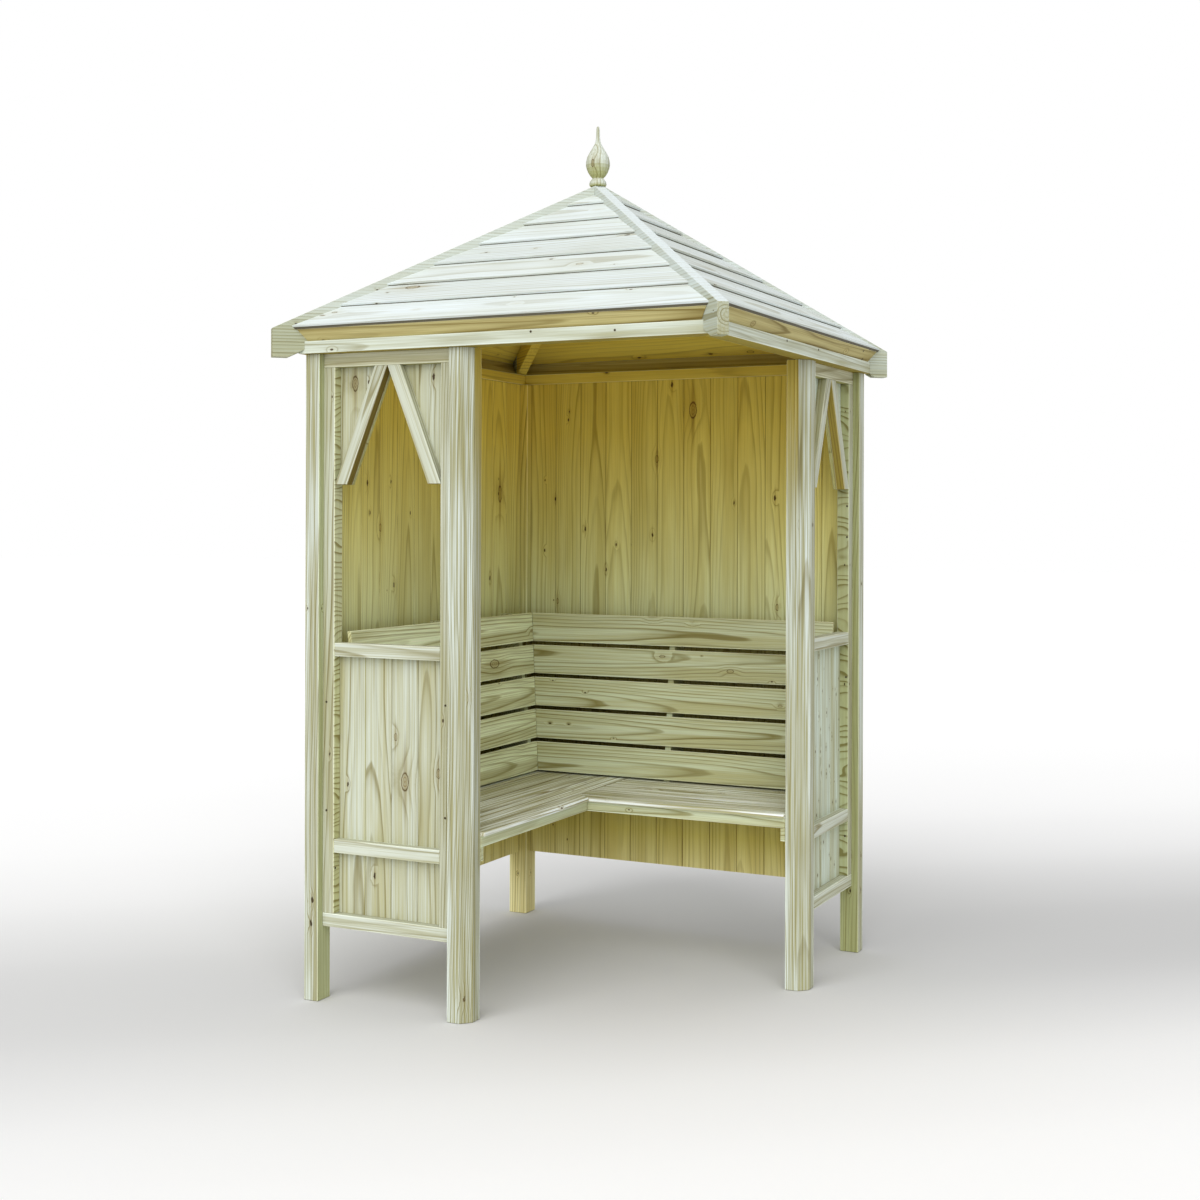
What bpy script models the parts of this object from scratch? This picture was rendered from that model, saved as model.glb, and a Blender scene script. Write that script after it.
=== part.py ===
# Corner arbor in pressure-treated softwood: five posts, two side panels with
# braced and boarded peaks, two boarded back walls, an L-shaped slatted bench and a
# four-sided boarded roof with hip rafters and a turned finial.
# World frame in metres: X right along the front face, Y away from the front,
# Z up, origin on the ground straight below the finial.

import math

import bmesh
import bpy

# Overall plan and posts. The posts' square stands a little off the roof's axis
PLAN_X = 0.007
PLAN_Y = 0.010
HALF = 0.625
POST_H = 1.830
POST = 0.066
ENTRY_CHAMFER = 0.028
CORNER_POST_LONG = 0.047
CORNER_POST_DEEP = 0.060
ENTRY_POST_OUT = 0.152
FIT = 0.0003
EASE = 0.0012

# Side panels
PANEL_SET_BACK = 0.022
MEMBER = 0.038
PANEL_BOTTOM = 0.209
ARM_RAIL_TOP = 1.013
MID_RAIL_BOTTOM = 0.420
PANEL_BOARD_T = 0.010
PANEL_BOARDS = 4
BRACE_W = 0.041
BRACE_DROP = 0.370
SPANDREL_NECK = 0.004

# Back walls
WALL_FACE = 0.037
WALL_BOARD_T = 0.012
WALL_BOARD_W = 0.096
WALL_BOTTOM = 0.212
WALL_LEDGE_H = 0.070
WALL_LEDGE_MID_Z = 0.985
LEDGE_BITE = 0.004
GROOVE_W = 0.004
GROOVE_DEEP = 0.002
GROOVE_END_CLEAR = 0.012

# Ring of wall plates
RING_X = 0.010
RING_Y = 0.010
RING_OUT = 0.017
PLATE_W = 0.058
PLATE_H = 0.035

# Roof
PITCH_TAN = 0.686
EAVE_OUT = 0.0195
EAVE_UP = 0.0325
HIP_T = 0.032
HIP_TAIL_OUT = 0.0229
HIP_TAIL_UP = 0.035
HIP_TAIL_H = 0.0815
HIP_TAIL_LEVEL = 0.044
APEX_CUT = 0.0065
COURSE = 0.0955
BOARD_LOW = 0.0045
BOARD_BUTT = 0.0075
BOARD_TOP_EDGE = 0.0055
ROOF_TIP_W = 0.008
FASCIA_T = 0.018
FASCIA_IN = 0.002

# Finial, radius and height above its foot
FINIAL = (
    (0.0225, 0.0000), (0.0252, 0.0030), (0.0260, 0.0076), (0.0246, 0.0138),
    (0.0205, 0.0194), (0.0160, 0.0242), (0.0176, 0.0266), (0.0238, 0.0332),
    (0.0297, 0.0428), (0.0340, 0.0539), (0.0362, 0.0640), (0.0357, 0.0746),
    (0.0324, 0.0884), (0.0252, 0.1022), (0.0168, 0.1160), (0.0104, 0.1270),
    (0.0072, 0.1367), (0.0056, 0.1500), (0.0052, 0.1712), (0.0042, 0.1780),
    (0.0022, 0.1806),
)
FINIAL_SIDES = 28

# Bench backs
BACK_BOARDS = 5
BACK_BOARD_W = 0.096
BACK_BOARD_T = 0.0125
BACK_GAP = 0.0125
BACK_OVER_SEAT = 0.007
BACK_FOOT_D = 0.165
BACK_TOP_D = 0.112
BACK_END_CLEAR = 0.004
BATTEN_W = 0.020
BATTEN_MID = 0.010
BATTEN_CORNER = -0.439
BATTEN_LAP = 0.010

# Bench seats
SEAT_TOP = 0.510
SEAT_T = 0.012
SEAT_PAST_POST = 0.013
SEAT_NOSE = 0.004
SEAT_BACK_D = 0.091
SEAT_STRIP_W = 0.057
SEAT_GAP = 0.005
SEAT_BOARDS = 4
SEAT_END_CLEAR = 0.0065
CLEAT_W = 0.038
CLEAT_H = 0.022
CLEAT_BITE = 0.003
CLEAT_CLEAR = 0.001
CLEAT_END_IN = 0.0385
CLEAT_PITCH = 0.275
RAIL_SET_BACK = 0.011
RAIL_H = 0.030
RAIL_T = 0.022
LEDGER_W = 0.065
LEDGER_H = 0.058
BEARER_T = 0.013
BEARER_H = 0.037
BEARER_CLEAR = 0.004

# Derived sizes
COS_P = 1.0 / math.sqrt(1.0 + PITCH_TAN ** 2)
SIN_P = PITCH_TAN * COS_P
ROOT2 = math.sqrt(2.0)
HAIR = FIT / 2
PLATE_TOP = POST_H + PLATE_H
RING_HALF = HALF + RING_OUT
EAVE = RING_HALF + EAVE_OUT
EAVE_UNDER_Z = PLATE_TOP + EAVE_UP
HIP_TAIL = EAVE + HIP_TAIL_OUT
HIP_TAIL_TOP_Z = PLATE_TOP + HIP_TAIL_UP
APEX_FLAT_Z = HIP_TAIL_TOP_Z + PITCH_TAN * HIP_TAIL - APEX_CUT
PANEL_LONG = HALF - CORNER_POST_LONG - ENTRY_POST_OUT
PANEL_MID = ENTRY_POST_OUT + PANEL_LONG / 2
PANEL_IN = HALF - PANEL_SET_BACK - MEMBER
HIP_GAP = (HIP_T / 2 + FIT) * ROOT2
BACK_FOOT_Z = SEAT_TOP + BACK_OVER_SEAT
BACK_END = PANEL_IN - BACK_END_CLEAR
SEAT_END = PANEL_IN - SEAT_END_CLEAR
SEAT_FRONT_D = HALF - ENTRY_POST_OUT + POST + SEAT_PAST_POST
SEAT_BOARD_W = (SEAT_FRONT_D - SEAT_STRIP_W - SEAT_BACK_D) / SEAT_BOARDS - SEAT_GAP

COLOURS = {
    "frame_wood": (0.62, 0.62, 0.42),
    "board_wood": (0.55, 0.53, 0.30),
    "roof_wood": (0.76, 0.77, 0.66),
    "fascia_wood": (0.46, 0.40, 0.20),
    "bench_wood": (0.58, 0.57, 0.34),
    "finial_wood": (0.70, 0.70, 0.52),
}


def clear_scene():
    for obj in list(bpy.data.objects):
        bpy.data.objects.remove(obj, do_unlink=True)


def wood(name, kind):
    mat = bpy.data.materials.new("mat_" + name)
    mat.use_nodes = True
    shader = mat.node_tree.nodes["Principled BSDF"]
    shader.inputs["Base Color"].default_value = (*COLOURS[kind], 1.0)
    shader.inputs["Roughness"].default_value = 0.72
    shader.inputs["Metallic"].default_value = 0.0
    return mat


def add_mesh(name, kind, verts, faces, place=(0.0, 0.0, 0.0), turn=0.0, ease=True):
    mesh = bpy.data.meshes.new(name)
    mesh.from_pydata(verts, [], faces)
    bm = bmesh.new()
    bm.from_mesh(mesh)
    bmesh.ops.recalc_face_normals(bm, faces=bm.faces)
    bm.to_mesh(mesh)
    bm.free()
    obj = bpy.data.objects.new(name, mesh)
    bpy.context.collection.objects.link(obj)
    obj.location = place
    obj.rotation_euler = (0.0, 0.0, turn)
    mesh.materials.append(wood(name, kind))
    if ease:
        soften(obj)
    return obj


def soften(obj):
    bevel = obj.modifiers.new("eased arrises", "BEVEL")
    bevel.width = EASE
    bevel.segments = 1
    bevel.limit_method = "ANGLE"
    bevel.angle_limit = math.radians(40.0)


def join(obj, other):
    union = obj.modifiers.new("join " + other.name, "BOOLEAN")
    union.operation = "UNION"
    union.solver = "EXACT"
    union.object = other
    bpy.context.view_layer.objects.active = obj
    bpy.ops.object.modifier_apply(modifier=union.name)
    bpy.data.objects.remove(other, do_unlink=True)


def cut(obj, cutter):
    """Take the cutter's shape out of a piece whose arrises are already eased."""
    difference = obj.modifiers.new("cut " + cutter.name, "BOOLEAN")
    difference.operation = "DIFFERENCE"
    difference.solver = "EXACT"
    difference.object = cutter
    bpy.context.view_layer.objects.active = obj
    for name in [modifier.name for modifier in obj.modifiers]:
        bpy.ops.object.modifier_apply(modifier=name)
    bpy.data.objects.remove(cutter, do_unlink=True)


def box_mesh(x0, x1, y0, y1, z0, z1):
    verts = [(x, y, z) for z in (z0, z1) for x, y in ((x0, y0), (x1, y0), (x1, y1), (x0, y1))]
    faces = [(0, 3, 2, 1), (4, 5, 6, 7), (0, 1, 5, 4), (1, 2, 6, 5), (2, 3, 7, 6), (3, 0, 4, 7)]
    return verts, faces


def prism_mesh(low, high):
    """Closed body between two matching outlines."""
    n = len(low)
    faces = [tuple(range(n)), tuple(range(2 * n - 1, n - 1, -1))]
    faces += [(i, (i + 1) % n, n + (i + 1) % n, n + i) for i in range(n)]
    return list(low) + list(high), faces


def box(name, kind, low, high, place, turn=0.0, ease=True):
    """Squared timber, half a fitting gap short of its nominal size on each face."""
    x0, y0, z0 = (c + HAIR for c in low)
    x1, y1, z1 = (c - HAIR for c in high)
    verts, faces = box_mesh(x0, x1, y0, y1, z0 if low[2] > 0.0 else 0.0, z1)
    return add_mesh(name, kind, verts, faces, place, turn, ease)


def upright(name, kind, outline, z0, z1, place, turn=0.0, ease=True):
    """Outline in plan carried straight up from z0 to z1."""
    low = [(x, y, z0) for x, y in outline]
    high = [(x, y, z1 - HAIR) for x, y in outline]
    verts, faces = prism_mesh(low, high)
    return add_mesh(name, kind, verts, faces, place, turn, ease)


def on_plan(x, y):
    """World place on the ground of a point measured from the middle of the posts."""
    return x + PLAN_X, y + PLAN_Y, 0.0


# Posts
def entry_post(name, place):
    h = POST / 2 - HAIR
    outline = ((-h, -h), (h - ENTRY_CHAMFER, -h), (h, -h + ENTRY_CHAMFER), (h, h), (-h, h))
    upright(name, "frame_wood", outline, 0.0, POST_H, place)


def posts():
    mid = ENTRY_POST_OUT - POST / 2
    edge = HALF - POST / 2
    entry_post("post_entry_left", on_plan(-mid, -edge))
    entry_post("post_entry_right", on_plan(edge, mid))
    h = POST / 2
    box("post_back", "frame_wood", (-h, -h, 0.0), (h, h, POST_H), on_plan(-edge, edge))
    a = CORNER_POST_LONG / 2
    b = CORNER_POST_DEEP / 2
    far = HALF - a
    near = HALF - b
    box("post_corner_left", "frame_wood", (-a, -b, 0.0), (a, b, POST_H), on_plan(-far, -near))
    box("post_corner_right", "frame_wood", (-a, -b, 0.0), (a, b, POST_H), on_plan(near, far), math.pi / 2)


# Side panels, local x along the panel and local -y outward, origin on the ground
# below the middle of the panel's inner face
def boarded_outline(length, thick, pitch):
    """Plan outline of upright boards with a V joint on both faces, y from -thick to 0."""
    joints = []
    end = length - HAIR
    x = pitch
    while x < length - GROOVE_END_CLEAR:
        joints.append(x)
        x += pitch
    front = [(HAIR, -thick)]
    for j in joints:
        front += [(j - GROOVE_W / 2, -thick), (j, -thick + GROOVE_DEEP), (j + GROOVE_W / 2, -thick)]
    front.append((end, -thick))
    back = [(end, 0.0)]
    for j in reversed(joints):
        back += [(j + GROOVE_W / 2, 0.0), (j, -GROOVE_DEEP), (j - GROOVE_W / 2, 0.0)]
    back.append((HAIR, 0.0))
    return front + back


def brace(name, side, place, turn):
    top = POST_H - MEMBER - HAIR
    foot = POST_H - BRACE_DROP
    foot_out = PANEL_LONG / 2 - MEMBER - FIT
    foot_in = PANEL_LONG / 2 - MEMBER - BRACE_W
    outline = ((HAIR, top), (BRACE_W, top), (foot_out, foot), (foot_in, foot))
    front = [(side * x, HAIR - MEMBER, z) for x, z in outline]
    back = [(side * x, -PANEL_BOARD_T - HAIR, z) for x, z in outline]
    verts, faces = prism_mesh(front, back)
    add_mesh(name, "frame_wood", verts, faces, place, turn)


def spandrel(name, place, turn):
    """Boards behind both braces, cut to their inner edges, one sheet joined at the peak."""
    top = POST_H - MEMBER - HAIR
    foot = POST_H - BRACE_DROP
    out = PANEL_LONG / 2 - MEMBER - HAIR
    foot_in = PANEL_LONG / 2 - MEMBER - BRACE_W
    neck = top - SPANDREL_NECK
    peak = foot_in * SPANDREL_NECK / (top - foot)
    half = [(out, top), (out, foot), (foot_in, foot), (peak, neck)]
    outline = half + [(-x, z) for x, z in reversed(half)]
    front = [(x, HAIR - PANEL_BOARD_T, z) for x, z in outline]
    back = [(x, 0.0, z) for x, z in outline]
    verts, faces = prism_mesh(front, back)
    add_mesh(name, "board_wood", verts, faces, place, turn, False)


def side_panel(tag, place, turn):
    half = PANEL_LONG / 2
    inner = half - MEMBER
    rail_top = PANEL_BOTTOM + MEMBER
    head = POST_H - MEMBER
    d = MEMBER
    box(tag + "_stile_outer", "frame_wood", (-half, -d, rail_top), (-inner, 0.0, head), place, turn)
    box(tag + "_stile_entry", "frame_wood", (inner, -d, rail_top), (half, 0.0, head), place, turn)
    box(tag + "_top_rail", "frame_wood", (-half, -d, head), (half, 0.0, POST_H), place, turn)
    box(tag + "_bottom_rail", "frame_wood", (-half, -d, PANEL_BOTTOM), (half, 0.0, rail_top), place, turn)
    arm_z = ARM_RAIL_TOP - MEMBER
    box(tag + "_arm_rail", "frame_wood", (-inner, -d, arm_z), (inner, 0.0, ARM_RAIL_TOP), place, turn)
    mid_z = MID_RAIL_BOTTOM
    behind = -PANEL_BOARD_T
    box(tag + "_mid_rail", "frame_wood", (-inner, -d, mid_z), (inner, behind, mid_z + MEMBER), place, turn)
    pitch = 2 * inner / PANEL_BOARDS
    outline = [(x - inner, y) for x, y in boarded_outline(2 * inner, PANEL_BOARD_T, pitch)]
    upright(tag + "_boards", "board_wood", outline, rail_top + HAIR, arm_z, place, turn, False)
    spandrel(tag + "_spandrel_boards", place, turn)
    brace(tag + "_brace_outer", -1.0, place, turn)
    brace(tag + "_brace_entry", 1.0, place, turn)


def side_panels():
    side_panel("left_panel", on_plan(-PANEL_MID, -PANEL_IN), 0.0)
    side_panel("right_panel", on_plan(PANEL_IN, PANEL_MID), math.pi / 2)


# Back walls, local x along the wall from the back post, local -y inward
def wall(tag, place, turn, mirror):
    length = 2 * HALF - POST - CORNER_POST_DEEP
    ledge = WALL_FACE - WALL_BOARD_T
    outline = boarded_outline(length, WALL_BOARD_T, WALL_BOARD_W)
    outline = [(mirror * x, y) for x, y in outline]
    boards = upright(tag + "_boards", "board_wood", outline, WALL_BOTTOM, POST_H, place, turn, False)
    x0, x1 = sorted((0.0, mirror * length))
    for k, z in enumerate((WALL_BOTTOM, WALL_LEDGE_MID_Z, POST_H - WALL_LEDGE_H)):
        low = (x0, -LEDGE_BITE, z)
        high = (x1, ledge, z + WALL_LEDGE_H)
        bar = box(tag + "_ledge_%d" % k, "board_wood", low, high, place, turn, False)
        bpy.context.view_layer.update()
        join(boards, bar)


def walls():
    # the board's outer face is the local y = 0 plane
    ledge = WALL_FACE - WALL_BOARD_T
    at = HALF - ledge
    corner = HALF - POST
    wall("wall_right", on_plan(-corner, at), 0.0, 1.0)
    wall("wall_left", on_plan(-at, corner), math.pi / 2, -1.0)


# Ring and roof pieces share one local frame per side: local x along the eave,
# local -y outward from the ring centre, ends cut plumb along the hip rafters
SIDES = ("front", "right", "back", "left")


def hip_centre(turns):
    """Where the hips cross, as distance along and outward in one side's frame."""
    along = (-RING_X, -RING_Y, RING_X, RING_Y)[turns]
    out = (RING_Y, -RING_X, -RING_Y, RING_X)[turns]
    return along, out


def between_hips(name, kind, outline, turns, ease=True):
    """Outline of (outward, z) points swept along one side between two hips."""
    along, out = hip_centre(turns)
    low = [(along - (e - out) + HIP_GAP, -e, z) for e, z in outline]
    high = [(along + (e - out) - HIP_GAP, -e, z) for e, z in outline]
    verts, faces = prism_mesh(low, high)
    add_mesh(name, kind, verts, faces, (RING_X, RING_Y, 0.0), turns * math.pi / 2, ease)


def plates():
    """Four plates mitred into one square ring on top of the posts."""
    b = RING_HALF
    a = b - PLATE_W
    mitre = HAIR * ROOT2
    outline = [(mitre - a, -a), (a - mitre, -a), (b - mitre, -b), (mitre - b, -b)]
    place = (RING_X, RING_Y, 0.0)
    for turns, side in enumerate(SIDES):
        upright("plate_" + side, "frame_wood", outline, POST_H + HAIR, PLATE_TOP, place, turns * math.pi / 2)


def under_z(e):
    """Height of the roof boards' underside at outward distance e."""
    return EAVE_UNDER_Z + (EAVE - e) * PITCH_TAN


def off_slope(e, lift):
    """Point lifted square off the boards' underside at outward distance e."""
    return e + lift * SIN_P, under_z(e) + lift * COS_P


def fascias():
    e0, z0 = off_slope(EAVE - FASCIA_IN, -FIT)
    e1, z1 = e0 - FASCIA_T * COS_P, z0 + FASCIA_T * SIN_P
    foot = PLATE_TOP + HAIR
    foot0 = e0 - (z0 - foot) * PITCH_TAN
    foot1 = e1 - (z1 - foot) * PITCH_TAN
    outline = ((e0, z0), (e1, z1), (foot1, foot), (foot0, foot))
    for turns, side in enumerate(SIDES):
        between_hips("fascia_" + side, "fascia_wood", outline, turns)


def roof_slopes():
    for turns, side in enumerate(SIDES):
        top = hip_centre(turns)[1] + HIP_GAP + ROOF_TIP_W / 2
        outline = [(EAVE, under_z(EAVE)), off_slope(EAVE, BOARD_LOW + BOARD_BUTT)]
        e = EAVE - COURSE
        while e > top + COURSE / 4:
            outline += [off_slope(e, BOARD_LOW), off_slope(e, BOARD_LOW + BOARD_BUTT)]
            e -= COURSE
        outline += [(top, under_z(top) + BOARD_TOP_EDGE / COS_P), (top, under_z(top))]
        between_hips("roof_boards_" + side, "roof_wood", outline, turns, False)


def hip_outline(inner):
    """Side outline of one hip rafter as (distance from the crossing, height)."""
    slope = PITCH_TAN / ROOT2
    tail = HIP_TAIL * ROOT2
    top0 = HIP_TAIL_TOP_Z
    low0 = HIP_TAIL_TOP_Z - HIP_TAIL_H
    level = tail - HIP_TAIL_LEVEL
    flat = tail - (APEX_FLAT_Z - top0) / slope
    points = [(tail, low0), (tail, top0)]
    if flat > inner + EASE:
        points += [(flat, APEX_FLAT_Z), (inner, APEX_FLAT_Z)]
    else:
        points += [(inner, top0 + slope * (tail - inner))]
    points += [(inner, low0 + slope * (level - inner)), (level, low0)]
    return points


def hips():
    """Rafters up the four hips, each notched to sit over the corner of the ring."""
    h = HIP_T / 2
    butted = h + FIT
    reach = RING_HALF + FIT
    angles = (("left", 5, HAIR), ("front", 7, butted), ("right", 1, HAIR), ("back", 3, butted))
    for name, eighth, inner in angles:
        outline = hip_outline(inner)
        low = [(s, -h, z) for s, z in outline]
        high = [(s, h, z) for s, z in outline]
        verts, faces = prism_mesh(low, high)
        hip = add_mesh("hip_" + name, "frame_wood", verts, faces, (0.0, 0.0, 0.0), eighth * math.pi / 4)
        verts, faces = box_mesh(-reach, reach, -reach, reach, 0.0, PLATE_TOP + HAIR)
        ring = add_mesh("ring", "frame_wood", verts, faces, (RING_X, RING_Y, 0.0), 0.0, False)
        bpy.context.view_layer.update()
        cut(hip, ring)


def finial():
    verts = []
    faces = []
    n = FINIAL_SIDES
    for r, z in FINIAL:
        for i in range(n):
            a = 2 * math.pi * i / n
            verts.append((r * math.cos(a), r * math.sin(a), z))
    for k in range(len(FINIAL) - 1):
        for i in range(n):
            j = (i + 1) % n
            faces.append((k * n + i, k * n + j, (k + 1) * n + j, (k + 1) * n + i))
    faces.append(tuple(range(n - 1, -1, -1)))
    faces.append(tuple(range(len(verts) - n, len(verts))))
    obj = add_mesh("finial", "finial_wood", verts, faces, (0.0, 0.0, APEX_FLAT_Z + FIT), 0.0, False)
    for poly in obj.data.polygons:
        poly.use_smooth = len(poly.vertices) == 4


# Bench wings: u runs along the wall away from the back corner's diagonal, d is
# the distance in from the wall's outer line. The two wings mirror each other
def wing_point(wing, u, d, z):
    if wing == "right":
        return PLAN_X + u, PLAN_Y + HALF - d, z
    return PLAN_X + d - HALF, PLAN_Y - u, z


def wing_prism(name, kind, wing, outline, start, end, ease=True):
    """Outline of (d, z) points swept along a wing from start(d) to end(d)."""
    low = [wing_point(wing, start(d), d, z) for d, z in outline]
    high = [wing_point(wing, end(d), d, z) for d, z in outline]
    ox, oy, oz = (sum(c) / len(low) for c in zip(*low))
    low = [(x - ox, y - oy, z - oz) for x, y, z in low]
    high = [(x - ox, y - oy, z - oz) for x, y, z in high]
    verts, faces = prism_mesh(low, high)
    return add_mesh(name, kind, verts, faces, (ox, oy, oz), 0.0, ease)


def wing_box(name, kind, wing, u, d, z, ease=False):
    outline = ((d[0], z[0]), (d[1], z[0]), (d[1], z[1]), (d[0], z[1]))
    return wing_prism(name, kind, wing, outline, lambda _: u[0], lambda _: u[1], ease)


def mitre(d):
    """Distance along a wing where it meets the other one on the diagonal."""
    return d - HALF + FIT


def back_axis():
    """Unit step up the reclined back, as (d, z)."""
    rise = BACK_BOARDS * BACK_BOARD_W + (BACK_BOARDS - 1) * BACK_GAP
    lean = math.asin((BACK_FOOT_D - BACK_TOP_D) / rise)
    return -math.sin(lean), math.cos(lean)


def bench_backs(wing):
    ud, uz = back_axis()
    for k in range(BACK_BOARDS):
        low = k * (BACK_BOARD_W + BACK_GAP)
        high = low + BACK_BOARD_W
        outline = []
        for along, inward in ((low, 0.0), (high, 0.0), (high, 1.0), (low, 1.0)):
            d = BACK_FOOT_D + along * ud - inward * BACK_BOARD_T * uz
            z = BACK_FOOT_Z + along * uz + inward * BACK_BOARD_T * ud
            outline.append((d, z))
        name = "bench_%s_back_board_%d" % (wing, k + 1)
        wing_prism(name, "bench_wood", wing, outline, mitre, lambda _: BACK_END)


def seat_rows():
    """Depth ranges of the boards behind the front strip."""
    rows = []
    d = SEAT_FRONT_D - SEAT_STRIP_W - SEAT_GAP
    for _ in range(SEAT_BOARDS):
        rows.append((d - SEAT_BOARD_W, d))
        d -= SEAT_BOARD_W + SEAT_GAP
    return rows


def bench_seat(wing, inner_start, cleats):
    """Front strip and four boards over cross cleats, fixed together."""
    z1 = SEAT_TOP
    z0 = SEAT_TOP - SEAT_T
    d0 = SEAT_FRONT_D - SEAT_STRIP_W
    d1 = SEAT_FRONT_D
    outline = ((d0, z0), (d1, z0), (d1, z1 - SEAT_NOSE), (d1 - SEAT_NOSE, z1), (d0, z1))
    name = "bench_%s_seat" % wing
    deck = wing_prism(name, "bench_wood", wing, outline, mitre, lambda _: SEAT_END, False)
    rows = seat_rows()
    parts = []
    for a, b in rows:
        parts.append(wing_box("row", "bench_wood", wing, (inner_start, SEAT_END), (a, b), (z0, z1)))
    for u, front in cleats:
        span = (WALL_FACE + LEDGER_W + CLEAT_CLEAR, front)
        z = (z0 - CLEAT_H, z0 + CLEAT_BITE)
        parts.append(wing_box("cleat", "bench_wood", wing, (u - CLEAT_W / 2, u + CLEAT_W / 2), span, z))
    for part in reversed(parts):
        bpy.context.view_layer.update()
        join(deck, part)
    soften(deck)


def bench_rail(wing):
    d1 = SEAT_FRONT_D - RAIL_SET_BACK
    d0 = d1 - RAIL_T
    z1 = SEAT_TOP - SEAT_T - FIT
    z0 = SEAT_TOP - SEAT_T - RAIL_H
    outline = ((d0, z0), (d1, z0), (d1, z1), (d0, z1))
    end = HALF - POST - FIT
    wing_prism("bench_%s_front_rail" % wing, "bench_wood", wing, outline, mitre, lambda _: end)


def bench_frame(wing, ledger_start, battens):
    """Wall ledger, end bearer and the reclined battens behind the back."""
    z1 = SEAT_TOP - SEAT_T - FIT
    wall_d = WALL_FACE + FIT
    end = HALF - POST - FIT
    d_ledger = (wall_d, WALL_FACE + LEDGER_W)
    name = "bench_%s_frame" % wing
    frame = wing_box(name, "bench_wood", wing, (ledger_start, end), d_ledger, (z1 - LEDGER_H, z1))
    rail_low = SEAT_TOP - SEAT_T - RAIL_H - FIT
    d_bearer = (wall_d + BEARER_CLEAR, SEAT_FRONT_D - RAIL_SET_BACK)
    z_bearer = (rail_low - BEARER_H, rail_low)
    parts = [wing_box("bearer", "bench_wood", wing, (end - BEARER_T, end), d_bearer, z_bearer)]
    ud, uz = back_axis()
    rise = BACK_BOARDS * BACK_BOARD_W + (BACK_BOARDS - 1) * BACK_GAP
    back = BACK_BOARD_T + FIT
    foot = (BACK_FOOT_D - back * uz, BACK_FOOT_Z + back * ud)
    head = (foot[0] + rise * ud, foot[1] + rise * uz)
    clear = seat_rows()[-1][0] - FIT
    seat_z = SEAT_TOP + FIT
    step = (seat_z - foot[1]) / uz
    toe = foot[0] + step * ud
    low = z1 - BATTEN_LAP
    outline = ((wall_d, low), (clear, low), (clear, seat_z), (toe, seat_z), head, (wall_d, head[1]))
    for u in battens:
        a = u - BATTEN_W / 2
        b = u + BATTEN_W / 2
        parts.append(wing_prism("batten", "bench_wood", wing, outline, lambda _: a, lambda _: b, False))
    for part in parts:
        bpy.context.view_layer.update()
        join(frame, part)


def bench():
    strip_d = SEAT_FRONT_D - SEAT_STRIP_W
    rail_in = SEAT_FRONT_D - RAIL_SET_BACK - RAIL_T - CLEAT_CLEAR
    row_front = strip_d - SEAT_GAP
    corner_post = HALF - POST - FIT
    # the left wing's boards run on to the far wall, the right wing's butt to them
    far = -(HALF - seat_rows()[-1][0])
    butt = strip_d - HALF
    last = SEAT_END - CLEAT_END_IN
    cleats = [(last, rail_in), (last - CLEAT_PITCH, rail_in), (last - 2 * CLEAT_PITCH, rail_in)]
    bench_backs("left")
    bench_backs("right")
    bench_seat("left", far, cleats + [(last - 3 * CLEAT_PITCH, row_front)])
    bench_seat("right", butt, cleats)
    bench_rail("left")
    bench_rail("right")
    bench_frame("left", WALL_FACE + LEDGER_W + FIT - HALF, (BATTEN_MID, BATTEN_CORNER))
    bench_frame("right", -corner_post, (BATTEN_MID,))


clear_scene()
posts()
side_panels()
walls()
plates()
fascias()
roof_slopes()
hips()
finial()
bench()
bpy.context.view_layer.update()
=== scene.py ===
import math
import random

import bpy
from mathutils import Matrix, Vector


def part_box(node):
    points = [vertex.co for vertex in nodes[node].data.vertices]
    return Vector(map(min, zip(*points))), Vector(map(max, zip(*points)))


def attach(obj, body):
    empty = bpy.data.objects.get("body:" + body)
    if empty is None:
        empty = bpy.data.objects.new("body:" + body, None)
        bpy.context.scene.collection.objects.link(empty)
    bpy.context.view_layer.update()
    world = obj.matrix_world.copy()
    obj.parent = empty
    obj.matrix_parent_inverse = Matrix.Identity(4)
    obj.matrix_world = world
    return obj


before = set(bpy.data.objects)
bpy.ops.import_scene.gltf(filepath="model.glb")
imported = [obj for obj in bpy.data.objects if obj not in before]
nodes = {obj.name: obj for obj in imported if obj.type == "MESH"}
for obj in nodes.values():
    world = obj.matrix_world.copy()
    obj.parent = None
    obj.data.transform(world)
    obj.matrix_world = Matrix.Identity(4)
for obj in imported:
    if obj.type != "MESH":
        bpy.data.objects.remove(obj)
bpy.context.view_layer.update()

# Posts. Five lengths of planed, pressure-treated softwood carry the whole arbor.
# The two at the entry have one corner planed off, and the treatment leaves the
# wood a pale greenish cream with brown growth rings, streaks and small knots.
X_AXIS = Vector((1.0, 0.0, 0.0))
Y_AXIS = Vector((0.0, 1.0, 0.0))
Z_AXIS = Vector((0.0, 0.0, 1.0))


def tint(red, green, blue):
    """Colour written as 0 to 255 per channel, as a shader wants it."""
    return tuple(((c / 255 + 0.055) / 1.055) ** 2.4 for c in (red, green, blue)) + (1.0,)


def add(tree, kind, sockets=(), **settings):
    """One shader node; a socket that is given another node's output is wired to it."""
    node = tree.nodes.new("ShaderNode" + kind)
    for key, value in settings.items():
        setattr(node, key, value)
    for key, value in dict(sockets).items():
        if isinstance(value, bpy.types.NodeSocket):
            tree.links.new(value, node.inputs[key])
        else:
            node.inputs[key].default_value = value
    return node


def maths(tree, operation, *values):
    return add(tree, "Math", enumerate(values), operation=operation).outputs[0]


def times(tree, first, second):
    return maths(tree, "MULTIPLY", first, second)


def plus(tree, value, by, more):
    """value * by + more"""
    return maths(tree, "MULTIPLY_ADD", value, by, more)


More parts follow.
